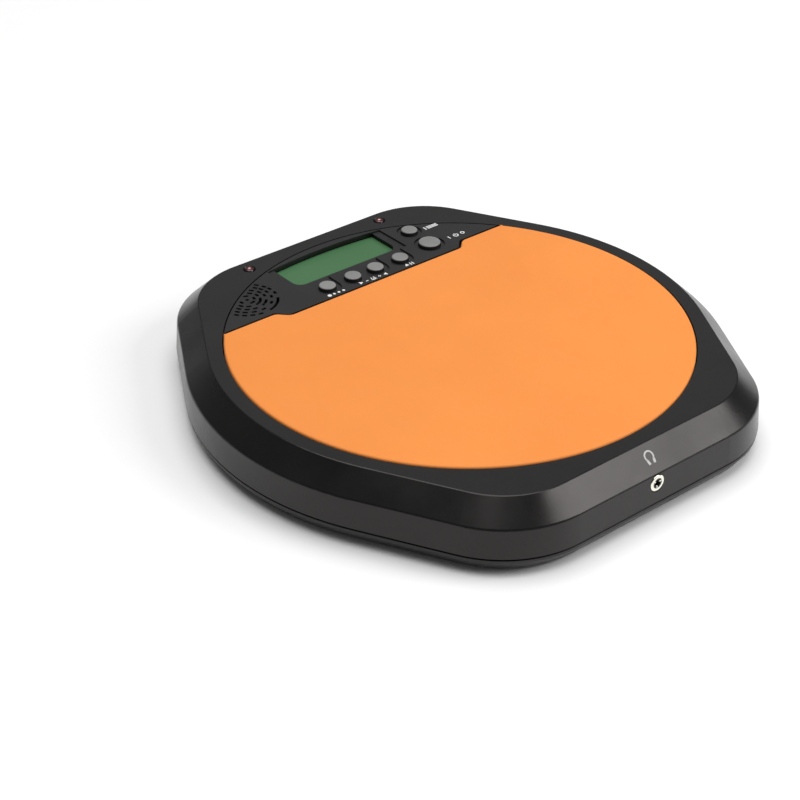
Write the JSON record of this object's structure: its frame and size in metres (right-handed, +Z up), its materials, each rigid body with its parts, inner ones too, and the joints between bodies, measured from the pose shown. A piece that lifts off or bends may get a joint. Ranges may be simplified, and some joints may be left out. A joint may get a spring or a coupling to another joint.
{
  "type": "electronic drum pad",
  "caption": "Shallow electronic practice drum pad with a round orange striking pad, a control panel with display and buttons, and a battery door underneath.",
  "frame": {"origin": "on the surface that the rubber feet stand on, under the centre of the round pad", "axes": "+Z up out of the pad, +Y towards the back edge with the display, +X to the right"},
  "size_m": [0.2578, 0.259, 0.0347],
  "materials": {
    "case_black": "satin moulded black plastic",
    "rubber_feet": "matte black rubber",
    "pad_silicone": "matte orange silicone",
    "foam": "closed-cell foam",
    "plate_board": "hardboard",
    "steel": "plated steel",
    "brass": "plain brass",
    "ceramic": "fired ceramic, silvered",
    "key_grey": "matte grey",
    "switch_black": "matte",
    "display_green": "green-grey liquid crystal display",
    "clear_plastic": "clear",
    "strip_rubber": "conductive rubber",
    "white_plastic": "matte white",
    "board_green": "green solder mask",
    "capacitor_sleeve": "shrunk sleeve",
    "lamp_red": "clear red resin",
    "speaker_film": "formed film",
    "cell_wrap": "printed wrap",
    "nickel": "bright nickel",
    "jack_black": "black plastic",
    "wire_red": "insulated wire"
  },
  "bodies": {
    "housing": {"base_shell": "case_black", "battery_back": "cell_wrap", "battery_front": "cell_wrap", "battery_lead": "wire_red", "board_capacitors": "capacitor_sleeve", "board_chips": "switch_black", "board_screws": "steel", "case_screws": "steel", "contact_bridge": "steel", "contact_minus": "steel", "contact_plus": "steel", "control_panel": "case_black", "jack_body": "jack_black", "jack_contacts": "steel", "jack_lead": "wire_red", "jack_nut": "nickel", "jack_sleeve": "jack_black", "key_switches": "switch_black", "lamp_leads": "steel", "lamp_left": "lamp_red", "lamp_right": "lamp_red", "lcd_contact_strip": "strip_rubber", "lcd_gasket": "foam", "lcd_glass": "display_green", "lcd_holder": "white_plastic", "lcd_light_guide": "clear_plastic", "main_board": "board_green", "pad_backing_plate": "plate_board", "pad_foam": "foam", "plate_screws": "steel", "rubber_feet": "rubber_feet", "sensor_crystal": "ceramic", "sensor_disc": "brass", "sensor_lead": "wire_red", "sensor_tape": "foam", "speaker_cone": "speaker_film", "speaker_frame": "steel", "speaker_lead": "wire_red", "speaker_magnet": "steel", "striking_pad": "pad_silicone", "upper_shell": "case_black"},
    "rhythm_key": {"rhythm_button": "key_grey", "rhythm_plunger": "switch_black"},
    "tempo_down_key": {"tempo_down_button": "key_grey", "tempo_down_plunger": "switch_black"},
    "tempo_up_key": {"tempo_up_button": "key_grey", "tempo_up_plunger": "switch_black"},
    "start_key": {"start_button": "key_grey", "start_plunger": "switch_black"},
    "mode_key": {"mode_button": "key_grey", "mode_plunger": "switch_black"},
    "power_key": {"power_button": "key_grey", "power_plunger": "switch_black"},
    "door": {"battery_door": "case_black"}
  },
  "joints": [
    {"name": "rhythm_press", "type": "slide", "parent": "housing", "child": "rhythm_key", "axis": [0, 0, -1], "range_m": [0, 0.0008], "stiffness_N_per_m": 1200, "springref_m": -0.0004},
    {"name": "tempo_down_press", "type": "slide", "parent": "housing", "child": "tempo_down_key", "axis": [0, 0, -1], "range_m": [0, 0.0008], "stiffness_N_per_m": 1200, "springref_m": -0.0004},
    {"name": "tempo_up_press", "type": "slide", "parent": "housing", "child": "tempo_up_key", "axis": [0, 0, -1], "range_m": [0, 0.0008], "stiffness_N_per_m": 1200, "springref_m": -0.0004},
    {"name": "start_press", "type": "slide", "parent": "housing", "child": "start_key", "axis": [0, 0, -1], "range_m": [0, 0.0008], "stiffness_N_per_m": 1200, "springref_m": -0.0004},
    {"name": "mode_press", "type": "slide", "parent": "housing", "child": "mode_key", "axis": [0, 0, -1], "range_m": [0, 0.0008], "stiffness_N_per_m": 1200, "springref_m": -0.0004},
    {"name": "power_press", "type": "slide", "parent": "housing", "child": "power_key", "axis": [0, 0, -1], "range_m": [0, 0.0008], "stiffness_N_per_m": 1200, "springref_m": -0.0004},
    {"name": "door_swing", "type": "hinge", "parent": "housing", "child": "door", "pos_m": [0, -0.0504, 0.00375], "axis": [-1, 0, 0], "range_deg": [0, 80]}
  ]
}
